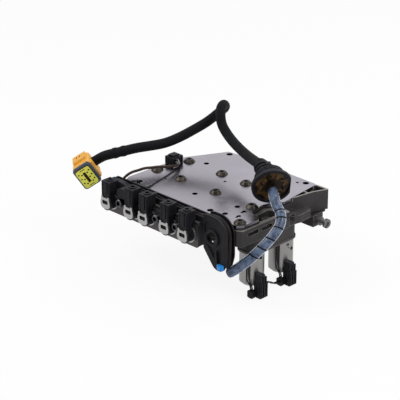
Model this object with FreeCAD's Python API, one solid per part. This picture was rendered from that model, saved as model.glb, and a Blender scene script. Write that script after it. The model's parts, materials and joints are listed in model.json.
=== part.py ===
import FreeCAD, Part
import math
import os

# Automatic gearbox valve body with its solenoids and wiring, in millimetres.
# Origin: midway between the two back case bolts, on the cover plate's top face.
# X runs along the row of shift solenoids, Y away from it, Z up out of the plate.

V = FreeCAD.Vector

# Cover plate and the stack under it
plate_thick = 3.0
plate_right = 84.0
plate_left = -89.0
plate_front = -129.5
plate_back = 6.8
plate_corner = 3.0
gasket_thick = 0.8
gasket_proud = 0.4
rim_drop = 5.0
rim_proud = 2.0
upper_height = 18.6
separator_thick = 1.2
lower_height = 12.4
tower_height = 14.4
case_wall = 3.2

# Fasteners
cover_shank = 6.0
cover_clear = 0.4
cover_flange = 13.2
cover_flange_thick = 1.0
cover_head = 9.4
cover_head_height = 2.0
cover_length = 34.0
corner_bolt_length = 18.0
drive_size = 4.6
drive_depth = 1.9
case_hole = 7.0
back_hole_spacing = 112.3
front_hole_spacing = 105.6
front_hole_y = -120.7
front_hole_mid = -19.2
gallery_hole = 6.0
vent_hole = 3.4

# Shift solenoids in the bank along the front
bank_left = -102.5
bank_right = 40.6
bank_face = -144.5
bank_top = -4.5
bank_bottom = -31.0
solenoid_z = -19.0
nose_size = 14.0
nose_length = 18.0
nose_clear = 0.05
nose_seals_at = (5.5, 12.0)
nose_seal_wide = 1.8
nose_groove = 1.6
neck_size = 11.6
core_size = 10.0
coil_size = 16.5
coil_length = 7.8
coil_flange = 19.0
coil_flange_thick = 1.2
yoke_wide = 14.0
yoke_tall = 12.2
yoke_thick = 1.6
yoke_slot_wide = 8.3
yoke_slot_tall = 4.5
horn_wide = 2.6
horn_rise = 1.4
retainer_thick = 2.0
retainer_gap = 0.3
retainer_end = 1.0
retainer_screw_z = -14.5
retainer_shank = 4.6
retainer_shank_long = 13.0
screw_clear = 0.05
retainer_post = 8.8
retainer_post_long = 8.2
retainer_socket = 5.0
socket_wide = 11.0
socket_deep = 7.0
socket_height = 13.8
cap_wide = 12.5
cap_middle = -149.5
cap_top = 8.0
cap_drops = (2.5, 0.0, 0.0, 0.0, 0.0)
cap_wall_clear = 0.05
cap_boss = 8.0

# Wiring channel and the bracket at its right end
channel_front = -141.3
channel_back = -129.9
channel_floor = 1.2
channel_wall = 1.3
channel_height = 6.6
channel_left = -95.0
hump_size = 15.0
hump_x = -66.5
hump_z = -5.0
hump_reach = 10.5
bracket_face = -143.5
bracket_web = 3.0
bracket_recess = 1.4
bracket_deep = 11.5
bracket_wall = 1.5
bracket_rise = 5.5
bracket_left = 46.5
bracket_right = 80.0
bracket_top = 8.3
bracket_hole = 14.0
bracket_hole_at = (58.0, -16.0)
bracket_arm_at = (66.0, -21.0)
bracket_arm_wide = 6.5
bracket_arm_high = 11.0
bracket_peg = 4.0
bracket_peg_long = 5.0
peg_clear = 0.05
shoulder_proud = 2.0
bundle_size = 4.0

# Pressure solenoids under the right end
can_size = 26.0
can_height = 38.0
can_x = 69.0
can_front_y = -95.5
can_pitch = 44.0
can_slot = 5.0
can_slot_deep = 1.4
clamp_thick = 2.0
clamp_edge = 1.5
stem_size = 11.6
stem_length = 9.0
stem_clear = 0.05
pressure_plug_thick = 9.4
pressure_plug_wide = 11.0
pressure_plug_height = 25.5
lead_size = 1.5
lead_entry = 7.4
lead_pitch = 2.4

# Connector at the plate's left edge
rear_connector_at = (-88.5, -67.0)
rear_connector_wide = 12.5
rear_connector_deep = 15.0
rear_connector_high = 8.5

# Connector that passes through the gearbox wall
pass_flange = 43.0
pass_flange_thick = 4.0
pass_flat = 19.0
pass_face_rim = 3.2
pass_turn = 54.4
pass_tilt = 16.5
pass_face = V(70.7, -68.1, 20.8)
pass_bowl_deep = 6.0
pass_bowl_shallow = 3.2
pass_collar = 30.5
pass_collar_length = 13.0
pass_shell = 23.0
boot_end_at = (-7.5, 6.5, -29.0)
boot_end = 15.0
harness_size = 10.0
conduit_size = 10.8

# Vehicle connector at the far end of the conduit
plug_face_centre = V(-125.5, -147.2, -3.8)
plug_forward = V(0.754, -0.655, -0.045)
plug_across = V(0.565, 0.613, 0.552)
plug_long = 26.0
plug_short = 20.5
plug_rim = 1.9
plug_housing_deep = 8.4
plug_seal_deep = 2.6
plug_face_deep = 4.0
plug_cover_deep = 15.0
plug_outlet_up = 2.0
pin_hole = 1.9
pin_pitch = 5.6
pin_columns = (-6.3, -3.4, 3.4, 6.3)

# Lower casting and the spool valves in it
lower_left = -83.0
lower_front = -120.0
lower_back = -1.0
lower_waist = -44.0
ball_size = 6.3
ball_pocket = 8.0
ball_pocket_deep = 7.0
manual_bore = 9.5
manual_y = -11.5
manual_z = -30.0
manual_length = 77.0
manual_out = 14.0
manual_travel_in = 9.0
spool_bore = 10.0
spool_clear = 0.03
spool_rows = (-28.0, -62.0)
spool_z = -30.0
spool_start = 5.0
spool_length = 44.0
spool_spring_length = 24.0
spool_plug_length = 7.0
spring_wire = 1.0
spring_turns = 6

# Levels worked out from the stack
plate_under = -plate_thick
upper_top = plate_under - gasket_thick
upper_bottom = upper_top - upper_height
lower_top = upper_bottom - separator_thick
lower_bottom = lower_top - lower_height
tower_bottom = lower_top - tower_height
can_top = tower_bottom - clamp_thick
can_bottom = can_top - can_height
upper_wall_x = plate_right + rim_proud
coil_back = bank_face - retainer_thick - coil_flange_thick
coil_face = coil_back - coil_length
yoke_face = coil_face - yoke_thick

# Places read off along the plate
cover_bolts_at = [(-73.0, -45.5), (-45.0, -85.9), (-81.0, -85.9), (-24.0, -45.0),
                  (12.4, -45.8), (6.2, -85.1), (58.0, -84.8)]
corner_bolt_at = (76.7, -121.9)
gallery_holes_at = [(-55.7, -36.4), (-7.0, -102.4), (47.3, -95.0), (50.3, -116.1)]
vent_holes_at = [(-57.4, -96.6), (-7.2, -57.3), (48.6, -5.0)]
solenoids_at = (-86.8, -51.2, -29.5, 2.0, 29.0)
retainer_screws_at = (-69.0, -13.75, 15.5)


def box(x0, x1, y0, y1, z0, z1):
    return Part.makeBox(x1 - x0, y1 - y0, z1 - z0, V(x0, y0, z0))


def rod(radius, start, end):
    way = end - start
    return Part.makeCylinder(radius, way.Length, start, way)


def upright(radius, place, z0, z1):
    return rod(radius, V(place[0], place[1], z0), V(place[0], place[1], z1))


def join(shapes):
    whole = shapes[0].multiFuse(shapes[1:]) if len(shapes) > 1 else shapes[0]
    return whole.removeSplitter()


def cut(shape, tools):
    return shape.cut(Part.makeCompound(tools)) if tools else shape


def rounded_face(corners, radius):
    """A flat face through the corners, each rounded by one arc."""
    edges = []
    starts = []
    ends = []
    count = len(corners)
    for i, corner in enumerate(corners):
        back = corners[i - 1] - corner
        ahead = corners[(i + 1) % count] - corner
        half = back.getAngle(ahead) / 2
        reach = min(radius / math.tan(half), 0.45 * min(back.Length, ahead.Length))
        starts.append(corner + back.normalize() * reach)
        ends.append(corner + ahead.normalize() * reach)
    for i, corner in enumerate(corners):
        middle = (starts[i] + ends[i]) * 0.5
        inner = corner - middle
        half_chord = (starts[i] - ends[i]).Length / 2
        reach = (corner - starts[i]).Length
        sag = half_chord * (reach - half_chord) / inner.Length
        edges.append(Part.Arc(starts[i], middle + inner.normalize() * sag, ends[i]).toShape())
        edges.append(Part.LineSegment(ends[i], starts[(i + 1) % count]).toShape())
    return Part.Face(Part.Wire(edges))


def slab(points, z0, z1, radius=0.5):
    face = rounded_face([V(x, y, z0) for x, y in points], radius)
    return face.extrude(V(0, 0, z1 - z0))


def side_slab(points, y0, y1, radius=0.5):
    face = rounded_face([V(x, y0, z) for x, z in points], radius)
    return face.extrude(V(0, y1 - y0, 0))


def side_oblong(x, z, wide, tall, y0, y1, radius):
    """A round-cornered block centred on x and z."""
    half = wide / 2
    rise = tall / 2
    corners = [(x - half, z - rise), (x + half, z - rise), (x + half, z + rise), (x - half, z + rise)]
    return side_slab(corners, y0, y1, radius)


def turned(profile, start, way):
    """A solid of revolution: profile lists (distance along way, radius)."""
    edge = [V(r, 0, h) for h, r in profile]
    edge = [V(0, 0, profile[0][0])] + edge + [V(0, 0, profile[-1][0])]
    face = Part.Face(Part.makePolygon(edge + [edge[0]]))
    solid = face.revolve(V(0, 0, 0), V(0, 0, 1), 360)
    solid.Placement = FreeCAD.Placement(start, FreeCAD.Rotation(V(0, 0, 1), way))
    return solid


def local_frame(origin, along, across):
    """Placement whose Z is along and whose X is across, squared up."""
    z = V(along).normalize()
    y = z.cross(across).normalize()
    x = y.cross(z)
    turn = FreeCAD.Rotation(x, y, z, "ZXY")
    return FreeCAD.Placement(origin, turn)


def put(shape, place):
    moved = shape.copy()
    moved.Placement = place.multiply(moved.Placement)
    return moved


def tube(name, route, size):
    """A round cord: straight runs joined by tangent arcs."""
    points = [V(*p) for p in route]
    radii = []
    edges = []
    last = points[0]
    for before, corner, after in zip(points, points[1:], points[2:]):
        back = before - corner
        ahead = after - corner
        reach = 0.45 * min(back.Length, ahead.Length)
        half_turn = (math.pi - back.getAngle(ahead)) / 2
        radii.append(reach / math.tan(half_turn))
        start = corner + back.normalize() * reach
        end = corner + ahead.normalize() * reach
        middle = (start + end) * 0.5
        out = corner - middle
        sag = radii[-1] * (1 - math.cos(half_turn))
        edges.append(Part.LineSegment(last, start).toShape())
        edges.append(Part.Arc(start, middle + out.normalize() * sag, end).toShape())
        last = end
    edges.append(Part.LineSegment(last, points[-1]).toShape())
    path = Part.Wire(edges)
    way = points[1] - points[0]
    ring = Part.Wire(Part.makeCircle(size / 2, points[0], way))
    solid = path.makePipeShell([ring], True, False)
    ideal = path.Length * math.pi * size * size / 4
    print(name, "length %.1f" % path.Length, "least radius %.1f" % min(radii + [999]),
          "volume ratio %.4f" % (solid.Volume / ideal))
    return solid


# Cover plate, gasket and holes

def plate_outline():
    return [(plate_right, plate_front + 6), (plate_right - 5, plate_front),
            (-50.0, plate_front + 1.2), (plate_left + 4, plate_front + 1.5),
            (plate_left, plate_front + 9), (plate_left + 2, -43.5), (-62.0, plate_back - 2),
            (-44.0, plate_back), (66.0, plate_back - 1), (73.0, -51.5), (62.5, -73.0),
            (67.5, -95.5), (plate_right, -100.5)]


def case_holes():
    half_back = back_hole_spacing / 2
    half_front = front_hole_spacing / 2
    return [(-half_back, 0.0), (half_back, 0.0),
            (front_hole_mid - half_front, front_hole_y),
            (front_hole_mid + half_front, front_hole_y)]


def stack_holes(z0, z1, spare=0.0):
    radius = (cover_shank + cover_clear) / 2 + spare
    tools = [upright(radius, p, z0, z1) for p in cover_bolts_at + [corner_bolt_at]]
    tools += [upright(case_hole / 2 + spare, p, z0, z1) for p in case_holes()]
    return tools


def key_slot(x, y, z0, z1):
    hole = upright(2.4, (x, y), z0, z1)
    return join([hole, box(x - 1.3, x + 1.3, y - 5.0, y, z0, z1)])


def top_plate():
    plate = slab(plate_outline(), plate_under, 0, plate_corner)
    tools = stack_holes(plate_under - 1, 1)
    tools += [upright(gallery_hole / 2, p, plate_under - 1, 1) for p in gallery_holes_at]
    tools += [upright(vent_hole / 2, p, plate_under - 1, 1) for p in vent_holes_at]
    tools += [key_slot(60.5, -98.5, plate_under - 1, 1), key_slot(64.5, -110.5, plate_under - 1, 1)]
    start = V(-67.6, -66.0, 0)
    end = V(-53.6, -121.0, 0)
    groove = Part.makeBox(3.4, (end - start).Length, 2.0, V(-1.7, 0, -1.0))
    turn = FreeCAD.Rotation(V(0, 1, 0), end - start)
    groove.Placement = FreeCAD.Placement(start, turn)
    tools.append(groove)
    tools.append(upright(2.4, (end.x, end.y), plate_under - 1, 1))
    return cut(plate, tools)


def upper_gasket():
    face = rounded_face([V(x, y, upper_top) for x, y in plate_outline()], plate_corner)
    wide = face.makeOffset2D(gasket_proud)
    gasket = wide.extrude(V(0, 0, gasket_thick))
    return cut(gasket, stack_holes(upper_top - 1, plate_under + 1, 0.4))


def separator_outline():
    return [(58.0, -120.2), (-80.0, -118.0), (-86.0, -44.0), (-62.0, 1.5),
            (plate_right, 1.5), (plate_right, -108.0), (58.0, -110.5)]


# Upper casting

def worm_trail(points, width, floor):
    """An oil passage: a round-ended channel open to the gasket."""
    pieces = []
    for a, b in zip(points, points[1:]):
        pieces.append(upright(width / 2, a, floor, upper_top + 1))
        way = V(b[0] - a[0], b[1] - a[1], 0)
        run = Part.makeBox(width, way.Length, upper_top + 1 - floor, V(-width / 2, 0, 0))
        run.Placement = FreeCAD.Placement(V(a[0], a[1], floor), FreeCAD.Rotation(V(0, 1, 0), way))
        pieces.append(run)
    pieces.append(upright(width / 2, points[-1], floor, upper_top + 1))
    return join(pieces)


def upper_trails():
    routes = [[(-78, -104), (-66, -98), (-66, -76)], [(-57, -110), (-36, -110), (-30, -98)],
              [(-56, -70), (-36, -66), (-36, -54)], [(-20, -112), (10, -112), (18, -104)],
              [(-30, -78), (-12, -74), (-4, -66)], [(22, -98), (22, -70), (4, -62)],
              [(36, -108), (36, -74)], [(24, -54), (44, -60), (44, -84)],
              [(-40, -30), (-40, -10), (-20, -8)], [(-10, -30), (20, -30), (34, -16)],
              [(-72, -30), (-62, -18)], [(32, -40), (52, -40), (60, -54)]]
    return [worm_trail(r, 6.0, upper_top - 9.0) for r in routes]


def rear_block():
    """Open-topped chamber at the right rear corner, with a rib across it."""
    outer = [(56.0, 5.5), (plate_right, 5.5), (plate_right - 7, -11.5), (plate_right - 10, -33.5),
             (plate_right - 14, -46.5), (plate_right - 15, -58.0), (56.0, -60.0)]
    solid = slab(outer, upper_bottom, 0, 1.0)
    edge = rounded_face([V(x, y, upper_top) for x, y in plate_outline()], plate_corner)
    under_plate = edge.makeOffset2D(gasket_proud + 0.3).extrude(V(0, 0, 1 - upper_top))
    solid = solid.cut(under_plate)
    floor = upper_top - 12.0
    pocket_back = slab([(67.5, 3.2), (81.2, 3.2), (75.3, -11.5), (74.7, -16.5), (68.0, -16.5)], floor, 1, 0.5)
    pocket_front = slab([(68.3, -18.3), (74.4, -18.3), (72.2, -33.5), (70.6, -36.0)], floor, 1, 0.4)
    return solid, [pocket_back, pocket_front]


def side_ledge():
    """Low flange on the right side with its ear and hole."""
    top = -12.0
    ledge = slab([(plate_right - 16, -58.0), (upper_wall_x, -58.0), (upper_wall_x + 3, -44.0),
                  (upper_wall_x + 1, -26.0), (plate_right - 8, -25.0), (plate_right - 16, -44.0)],
                 upper_bottom + 1.5, top, 1.0)
    ear = slab([(upper_wall_x - 6, -60.0), (upper_wall_x + 7.5, -56.0), (upper_wall_x - 2, -46.0)],
               top - 3.0, top + 2.5, 1.5)
    hole = upright(1.9, (upper_wall_x + 1.6, -55.0), top - 4, top + 4)
    return [ledge, ear], [hole]


def upper_body():
    under_plate = slab(plate_outline(), upper_bottom, upper_top, plate_corner)
    rim = slab([(plate_right - 3.5, plate_front - 1.5), (upper_wall_x, plate_front + 2),
                (upper_wall_x, -57.0), (60.0, -57.0), (20.0, -60.0), (20.0, plate_front + 3)],
               upper_bottom, -rim_drop, 1.5)
    shelf = slab([(plate_left - 0.5, plate_front + 9), (plate_left + 1.5, -43.0), (-62.5, plate_back - 1.5),
                  (-44.0, plate_back + 1), (60.0, plate_back), (40.0, plate_front + 2)],
                 upper_bottom, -rim_drop - 1, 2.0)
    bank = box(bank_left, bank_right, bank_face, plate_front + 9, bank_bottom, bank_top)
    shoulder = box(bank_right, plate_right - 6, plate_front - shoulder_proud, plate_front + 9,
                   upper_bottom, -rim_drop - 2)
    chamber, pockets = rear_block()
    flanges, flange_holes = side_ledge()
    body = join([under_plate, rim, shelf, bank, shoulder, chamber] + flanges)
    tools = pockets + flange_holes + stack_holes(bank_bottom - 1, 1)
    tools += upper_trails()
    window_z = (-13.5, -9.0)
    for y in (-119.7, -99.5):
        tools.append(box(upper_wall_x - 5, upper_wall_x + 1, y, y + 15.6, *window_z))
    recess = slab([(70.0, -96.0), (81.5, -99.0), (82.5, -62.0), (68.0, -70.5)], -13.0, 1, 2.0)
    tools.append(recess)
    for x in solenoids_at:
        tools.append(rod(nose_size / 2 + nose_clear, V(x, bank_face - 1, solenoid_z),
                         V(x, bank_face + nose_length + 0.5, solenoid_z)))
    for x in retainer_screws_at:
        mouth = V(x, bank_face - 1, retainer_screw_z)
        tools.append(rod(retainer_shank / 2 + screw_clear, mouth, mouth + V(0, retainer_shank_long + 0.2, 0)))
    tools.append(rod(bracket_peg / 2 + peg_clear, peg_start() - V(0, 1, 0),
                     peg_start() + V(0, bracket_peg_long + 0.5, 0)))
    body = cut(body, tools)
    boss = upright(4.5, (77.0, -84.0), -13.5, -7.5)
    return join([body, boss])


def separator_plate():
    plate = slab(separator_outline(), lower_top, upper_bottom, 2.0)
    tools = stack_holes(lower_top - 1, upper_bottom + 1)
    tools += [upright(2.0, p, lower_top - 1, upper_bottom + 1) for p in ball_seats()]
    return cut(plate, tools)


# Lower casting, spool valves and check balls

def ball_seats():
    return [(-30.0, -95.0), (-60.0, -95.0), (30.0, -95.0), (-12.0, -75.0)]


def tower_outline():
    half = can_size / 2 + 0.5
    front = can_front_y - half
    back = can_front_y + can_pitch + half
    return [(can_x - half, front), (can_x + half, front), (can_x + half, back), (can_x - half, back)]


def spool_hole(y):
    left = plate_left + 6
    return rod(spool_bore / 2, V(left, y, spool_z), V(spool_start, y, spool_z))


def lower_body():
    right = can_x - can_size / 2
    main = slab([(right - 6, lower_front), (lower_left + 5, lower_front + 4), (lower_left, lower_waist),
                 (lower_left + 23, lower_back), (right - 2, lower_back), (right, lower_waist + 4),
                 (right, lower_front + 8)], lower_bottom, lower_top, 3.0)
    back_lugs = [upright(case_hole / 2 + case_wall, p, lower_bottom, lower_top) for p in case_holes()[:2]]
    block = box(50.0, plate_right + 0.5, manual_y - 7.5, manual_y + 7.5, lower_bottom, lower_top)
    tower = slab(tower_outline(), tower_bottom, lower_top, can_size / 2)
    body = join([main, block, tower] + back_lugs)
    tools = stack_holes(tower_bottom - 1, lower_top + 1)
    inner_end = plate_right + manual_out - manual_length - manual_travel_in - 1
    tools.append(rod(manual_bore / 2, V(inner_end, manual_y, manual_z),
                     V(plate_right + 2, manual_y, manual_z)))
    for y in spool_rows:
        tools.append(spool_hole(y))
        for x in (-30.0, -16.0, -2.0):
            tools.append(box(x - 2.0, x + 2.0, y - 3.5, y + 3.5, spool_z, lower_top + 1))
    for x in (30.0, 46.0):
        tools.append(box(x - 2.0, x + 2.0, manual_y - 3.0, manual_y + 3.0, manual_z, lower_top + 1))
    for seat in ball_seats():
        tools.append(upright(ball_pocket / 2, seat, lower_top - ball_pocket_deep, lower_top + 1))
    for i in (0, 1):
        y = can_front_y + i * can_pitch
        tools.append(upright(stem_size / 2 + stem_clear, (can_x, y), tower_bottom - 1,
                             tower_bottom + stem_length + 0.5))
    for place in clamp_screws_at():
        tools.append(upright(2.05, place, tower_bottom - 1, tower_bottom + 8.2))
    return cut(body, tools)


def spool(lands, length, bore, waist, start, way):
    """A spool with full lands joined by a thinner waist."""
    radius = bore / 2 - spool_clear
    profile = []
    for a, b in lands:
        profile += [(a * length, waist / 2), (a * length, radius)]
        profile += [(b * length, radius), (b * length, waist / 2)]
    profile = profile[1:-1]
    return turned(profile, start, way)


def manual_valve():
    out = plate_right + manual_out
    start = V(out - manual_length, manual_y, manual_z)
    land = spool([(0.0, 0.16), (0.34, 0.52), (0.66, 0.885)], manual_length, manual_bore, 4.6, start,
                 V(1, 0, 0))
    neck_from = 0.88 * manual_length
    neck = rod(1.9, start + V(neck_from, 0, 0), start + V(manual_length - 2.0, 0, 0))
    disc = rod(manual_bore / 2 + 0.3, V(out - 3.0, manual_y, manual_z), V(out, manual_y, manual_z))
    eye = rod(2.2, V(out - 1.6, manual_y, manual_z), V(out + 1, manual_y, manual_z))
    mouth = box(out - 1.6, out + 1, -1.4, 1.4, -8.0, 0)
    turn = FreeCAD.Rotation(V(1, 0, 0), -45)
    mouth = put(mouth, FreeCAD.Placement(V(0, manual_y, manual_z), turn))
    return cut(join([land, neck, disc]), [join([eye, mouth])])


def regulator_spool(y):
    start = V(spool_start - 0.3, y, spool_z)
    return spool([(0.0, 0.22), (0.36, 0.52), (0.68, 1.0)], spool_length, spool_bore, 5.6, start, V(-1, 0, 0))


def regulator_spring(y):
    """A compression spring between the spool and its plug."""
    x_end = spool_start - 0.3 - spool_length
    room = spool_spring_length - spring_wire - 0.2
    radius = spool_bore / 2 - spring_wire
    helix = Part.makeHelix(room / spring_turns, room, radius)
    corners = [V(radius + spring_wire / 2 * math.cos(math.radians(60 * i)), 0,
                 spring_wire / 2 * math.sin(math.radians(60 * i))) for i in range(7)]
    ring = Part.makePolygon(corners)
    solid = Part.Wire(helix.Edges).makePipeShell([ring], True, True)
    start = V(x_end - 0.1 - spring_wire / 2, y, spool_z)
    solid.Placement = FreeCAD.Placement(start, FreeCAD.Rotation(V(0, 0, 1), V(-1, 0, 0)))
    return solid


def spool_plug(y):
    start = V(spool_start - 0.3 - spool_length - spool_spring_length, y, spool_z)
    radius = spool_bore / 2 - spool_clear
    return turned([(0, radius - 0.6), (0.6, radius), (spool_plug_length, radius)], start, V(-1, 0, 0))


def check_balls():
    balls = []
    for x, y in ball_seats():
        centre = V(x, y, lower_top - ball_pocket_deep + ball_size / 2 + 0.05)
        balls.append(Part.makeSphere(ball_size / 2, centre))
    return Part.makeCompound(balls)


# Fasteners

def flange_bolt(place, length):
    top = cover_flange_thick + cover_head_height
    shank = cover_shank / 2
    flange = cover_flange / 2
    head = cover_head / 2
    profile = [(-length, shank), (0.0, shank), (0.0, flange), (cover_flange_thick * 0.6, flange),
               (cover_flange_thick, flange - 0.5), (top - 0.5, head), (top, head - 0.6)]
    bolt = turned(profile, V(place[0], place[1], 0), V(0, 0, 1))
    drive = Part.Face(Part.makePolygon([V(place[0] + drive_size / 2 * math.cos(math.radians(60 * i)),
                                          place[1] + drive_size / 2 * math.sin(math.radians(60 * i)),
                                          top - drive_depth) for i in range(7)]))
    return bolt.cut(drive.extrude(V(0, 0, drive_depth + 1)))


def cover_bolts():
    bolts = [flange_bolt(p, cover_length) for p in cover_bolts_at]
    bolts.append(flange_bolt(corner_bolt_at, corner_bolt_length))
    return Part.makeCompound(bolts)


def small_screw(start, way, head, head_height, shank, length, drive):
    """A round-headed screw whose head seats at start and whose shank runs along way."""
    back = V(way) * -1
    screw = turned([(-length, shank / 2), (0, shank / 2), (0, head / 2), (head_height - 0.8, head / 2),
                    (head_height, head / 2 - 0.8)], start, back)
    return screw.cut(rod(drive / 2, start + back * (head_height * 0.45), start + back * (head_height + 1)))


# Solenoid bank

def retaining_plate():
    left = bank_left - retainer_end
    right = bank_right + 0.4
    under = bank_bottom - retainer_end
    outline = [(left, under), (right, under), (right, bank_top - 2.5), (left, bank_top - 2.5)]
    front = bank_face - retainer_thick
    plate = side_slab(outline, front, bank_face, 1.5)
    tools = []
    for x in solenoids_at:
        half = neck_size / 2 + retainer_gap
        tools.append(rod(half, V(x, front - 1, solenoid_z), V(x, bank_face + 1, solenoid_z)))
        tools.append(box(x - half, x + half, front - 1, bank_face + 1, solenoid_z, 0))
    for x in retainer_screws_at:
        tools.append(rod(retainer_shank / 2 + retainer_gap, V(x, front - 1, retainer_screw_z),
                         V(x, bank_face + 1, retainer_screw_z)))
    return cut(plate, tools)


def retaining_screws():
    front = bank_face - retainer_thick
    return Part.makeCompound([small_screw(V(x, front, retainer_screw_z), V(0, 1, 0), retainer_post,
                                          retainer_post_long, retainer_shank, retainer_shank_long,
                                          retainer_socket)
                              for x in retainer_screws_at])


def solenoid_valve(x):
    """Steel cartridge: nose in the bore, neck through the plate, core through the coil."""
    nose = nose_size / 2
    body = coil_flange_thick
    profile = [(-coil_length - 0.2, core_size / 2), (0, core_size / 2), (0, coil_flange / 2),
               (body, coil_flange / 2), (body, neck_size / 2), (body + retainer_thick, neck_size / 2),
               (body + retainer_thick, nose)]
    for middle in nose_seals_at:
        near = body + retainer_thick + middle - nose_seal_wide / 2 - 0.1
        far = near + nose_seal_wide + 0.2
        profile += [(near, nose), (near, nose - nose_groove), (far, nose - nose_groove), (far, nose)]
    end = body + retainer_thick + nose_length
    profile += [(end - 1.5, nose), (end, nose - 1.5)]
    cartridge = turned(profile, V(x, coil_back, solenoid_z), V(0, 1, 0))
    half = yoke_wide / 2
    tall = yoke_tall / 2
    ring = side_oblong(x, solenoid_z, yoke_wide, yoke_tall, yoke_face, coil_face, 5.0)
    horns = []
    for side in (-1, 1):
        middle = x + side * (half - horn_wide / 2 - 1.0)
        horns.append(box(middle - horn_wide / 2, middle + horn_wide / 2, yoke_face, coil_face,
                         solenoid_z + 3.0, solenoid_z + tall + horn_rise))
    slot = side_oblong(x, solenoid_z + 1.2, yoke_slot_wide, yoke_slot_tall, yoke_face - 1, coil_face + 0.6, 1.4)
    return join([cartridge, cut(join([ring] + horns), [slot])])


def socket_block(x, spare):
    """The terminal socket on the coil, or with spare the room for it in the plug."""
    half = socket_wide / 2 + spare
    front = coil_face + 0.1 - spare
    base = solenoid_z + 4.0
    return box(x - half, x + half, front, front + socket_deep + 2 * spare, base, base + socket_height + spare)


def solenoid_coil(x):
    """Moulded coil with the terminal socket standing on it."""
    coil = rod(coil_size / 2, V(x, coil_face, solenoid_z), V(x, coil_back, solenoid_z))
    core = rod(core_size / 2, V(x, coil_face - 1, solenoid_z), V(x, coil_back + 1, solenoid_z))
    return join([coil, socket_block(x, 0.0)]).cut(core)


def row_connector(x, drop):
    """Harness plug pushed over the socket, with its ribs and the boss on top."""
    half = cap_wide / 2
    front = cap_middle - half
    top = cap_top - drop
    skirt = solenoid_z + coil_size / 2 + 0.3
    head_low = bank_top + 0.2
    head = box(x - half, x + half, front, front + cap_wide, head_low, top)
    lower = box(x - half, x + half, front, coil_back - 0.3, skirt, head_low + 0.1)
    latch = box(x - 2.6, x + 2.6, front - 1.1, front, skirt + 2.5, top - 2.0)
    ribs = []
    for side in (-1, 1):
        middle = x + side * 4.6
        ribs.append(box(middle - 0.7, middle + 0.7, front - 0.7, front, skirt, top - 3.0))
        for y in (front + 1.6, front + 5.4, front + 9.2):
            ribs.append(box(x + side * half - 0.4, x + side * half + 0.4, y, y + 1.5, head_low, top - 1.2))
    boss = upright(cap_boss / 2, (x, cap_middle), top - 0.2, top + 1.2)
    hole = upright(cap_boss / 2 - 1.6, (x, cap_middle), top - 3.0, top + 2.0)
    return cut(join([head, lower, boss, latch] + ribs), [hole, socket_block(x, cap_wall_clear)])


def nose_seals():
    rings = []
    half = nose_seal_wide / 2
    for x in solenoids_at:
        for middle in nose_seals_at:
            y = bank_face + middle
            outer = rod(nose_size / 2 - 0.2, V(x, y - half, solenoid_z), V(x, y + half, solenoid_z))
            inner = rod(nose_size / 2 - nose_groove, V(x, y - 2, solenoid_z), V(x, y + 2, solenoid_z))
            rings.append(outer.cut(inner))
    return Part.makeCompound(rings)


# Wiring channel, bracket and clip

def harness_channel():
    top = bank_top + channel_height
    left = channel_left
    right = bracket_left
    outer = box(left, right, channel_front, channel_back, bank_top, top)
    inner = box(left + channel_wall, right + 1, channel_front + channel_wall, channel_back - channel_wall,
                bank_top + channel_floor, top + 1)
    hump = rod(hump_size / 2, V(hump_x, channel_front - hump_reach, hump_z),
               V(hump_x, channel_front + 0.5, hump_z))
    hump = hump.cut(box(hump_x - hump_size, hump_x + hump_size, channel_front - hump_reach - 1,
                        channel_front + 2, hump_z - hump_size, bank_top - 4.5))
    hump = hump.cut(box(hump_x - hump_size, hump_x + hump_size, bank_face - retainer_thick - 0.2,
                        channel_front + 2, hump_z - hump_size, bank_top))
    clips = [box(x - 2.2, x + 2.2, channel_front, channel_back, top - 1.1, top) for x in (-35.0, 18.0)]
    exits = [box(x - 2.0, x + 2.0, channel_front - 1, channel_front + channel_wall + 1, top - 2.4, top - 1.2)
             for x in solenoids_at]
    return join([cut(outer, [inner] + exits), hump] + clips)


def bracket_profile(inset):
    corners = [V(bracket_left - 8, 0, bracket_top), V(bracket_right, 0, bracket_top),
               V(bracket_right, 0, -33.0), V(bracket_right - 5, 0, -49.0),
               V(bracket_right - 17.5, 0, -50.0), V(bracket_left - 4, 0, -25.0)]
    whole = rounded_face(corners, 20.0)
    return whole.makeOffset2D(-inset) if inset else whole


def bracket_strip(outer, inner, y0, y1):
    face = bracket_profile(outer).cut(bracket_profile(inner))
    face.translate(V(0, y0, 0))
    strip = face.extrude(V(0, y1 - y0, 0))
    return strip


def peg_start():
    """Middle of the bracket arm's seat on the casting."""
    arm_x, arm_z = bracket_arm_at
    return V(arm_x + bracket_arm_wide / 2, plate_front - shoulder_proud, arm_z + bracket_arm_high / 2)


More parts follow.
